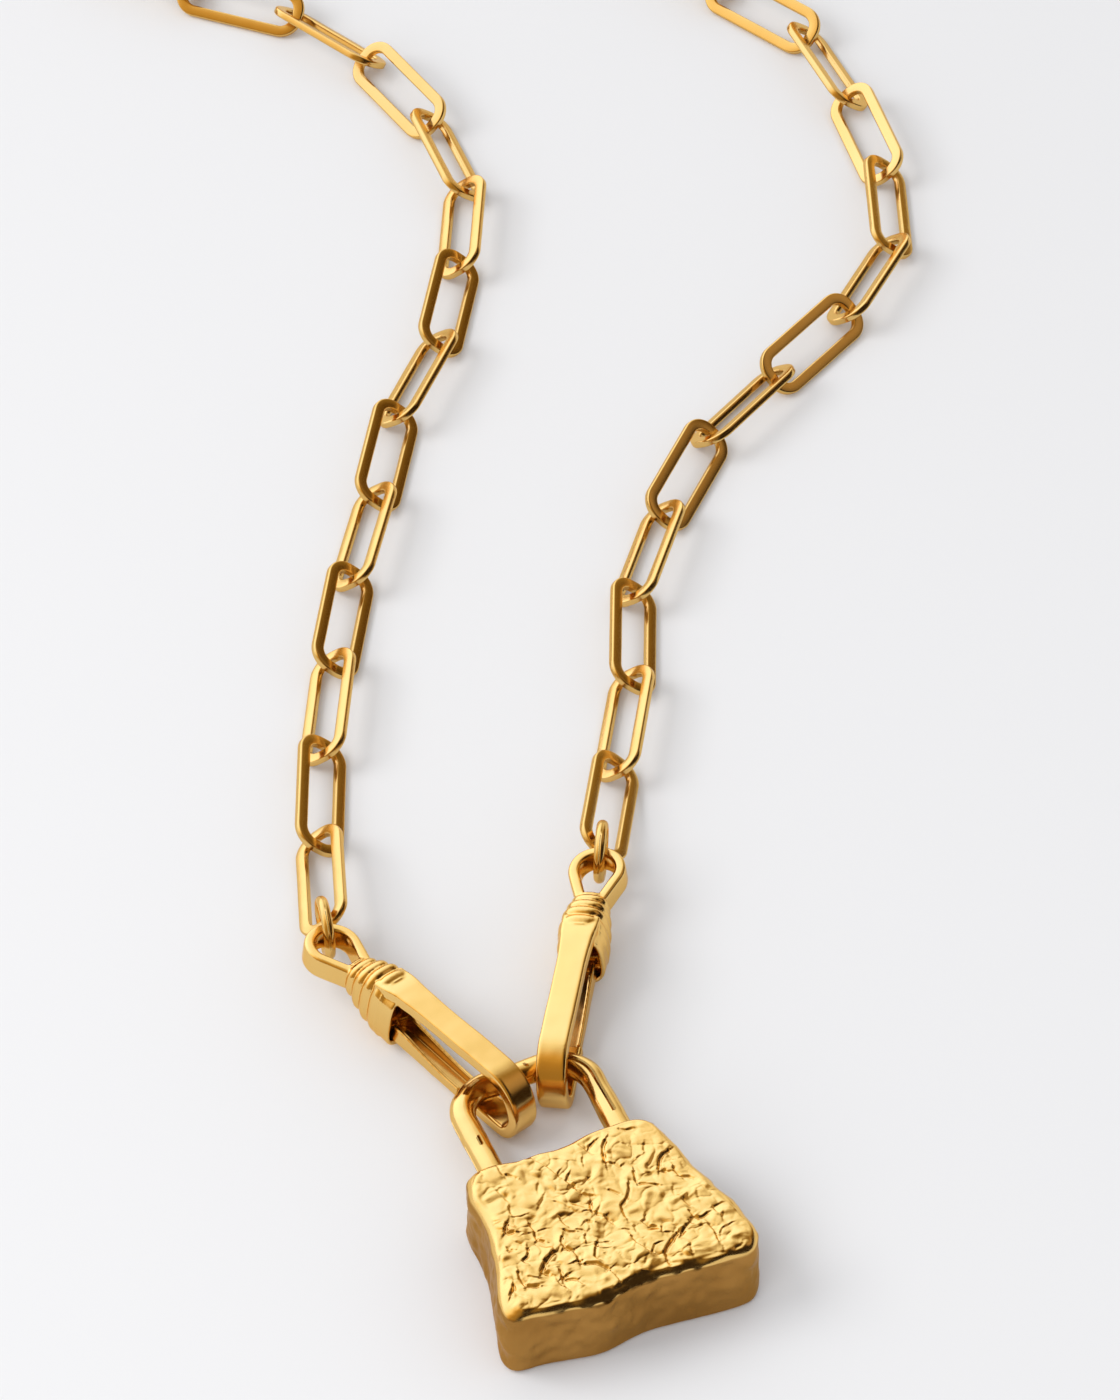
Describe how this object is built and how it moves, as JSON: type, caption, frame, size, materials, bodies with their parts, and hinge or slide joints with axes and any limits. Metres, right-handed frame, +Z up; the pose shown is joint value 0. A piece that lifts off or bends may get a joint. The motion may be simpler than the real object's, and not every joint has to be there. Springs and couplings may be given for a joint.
{
  "type": "padlock pendant necklace",
  "caption": "Small cast padlock pendant with a rough nugget face, hung on two gated spring hooks at the ends of a flat-wire paper-clip chain, laid out flat.",
  "frame": {"origin": "middle of the padlock's flat back, on the surface that everything lies on", "axes": "+Z up from the surface, +Y from the pendant towards the back of the neck, +X to the wearer's left"},
  "size_m": [0.0808, 0.1917, 0.0066],
  "materials": {
    "cast_gold": "cast, softly polished, cracked front",
    "polished_gold": "polished",
    "chain_gold": "polished wire"
  },
  "bodies": {
    "necklace": {"chain_link_01": "chain_gold", "chain_link_02": "chain_gold", "chain_link_03": "chain_gold", "chain_link_04": "chain_gold", "chain_link_05": "chain_gold", "chain_link_06": "chain_gold", "chain_link_07": "chain_gold", "chain_link_08": "chain_gold", "chain_link_09": "chain_gold", "chain_link_10": "chain_gold", "chain_link_11": "chain_gold", "chain_link_12": "chain_gold", "chain_link_13": "chain_gold", "chain_link_14": "chain_gold", "chain_link_15": "chain_gold", "chain_link_16": "chain_gold", "chain_link_17": "chain_gold", "chain_link_18": "chain_gold", "chain_link_19": "chain_gold", "chain_link_20": "chain_gold", "chain_link_21": "chain_gold", "chain_link_22": "chain_gold", "chain_link_23": "chain_gold", "chain_link_24": "chain_gold", "chain_link_25": "chain_gold", "chain_link_26": "chain_gold", "chain_link_27": "chain_gold", "chain_link_28": "chain_gold", "chain_link_29": "chain_gold", "chain_link_30": "chain_gold", "chain_link_31": "chain_gold", "chain_link_32": "chain_gold", "chain_link_33": "chain_gold", "chain_link_34": "chain_gold", "chain_link_35": "chain_gold", "chain_link_36": "chain_gold", "chain_link_37": "chain_gold", "chain_link_38": "chain_gold", "chain_link_39": "chain_gold", "chain_link_40": "chain_gold", "chain_link_41": "chain_gold", "left_gate_pin": "polished_gold", "left_hook": "polished_gold", "left_jump_ring": "chain_gold", "padlock_body": "cast_gold", "right_gate_pin": "polished_gold", "right_hook": "polished_gold", "right_jump_ring": "chain_gold", "shackle": "polished_gold"},
    "left_gate": {"left_gate": "polished_gold"},
    "right_gate": {"right_gate": "polished_gold"}
  },
  "joints": [
    {"name": "left_gate_hinge", "type": "hinge", "parent": "necklace", "child": "left_gate", "pos_m": [-0.01487, 0.02078, 0.00129], "axis": [-0.706, -0.6896, 0.1615], "range_deg": [0, 20], "stiffness_Nm_per_rad": 0.02, "springref_deg": -17.19},
    {"name": "right_gate_hinge", "type": "hinge", "parent": "necklace", "child": "right_gate", "pos_m": [-0.00149, 0.02628, 0.00124], "axis": [-0.9763, 0.1713, -0.1322], "range_deg": [0, 20], "stiffness_Nm_per_rad": 0.02, "springref_deg": -17.19}
  ]
}
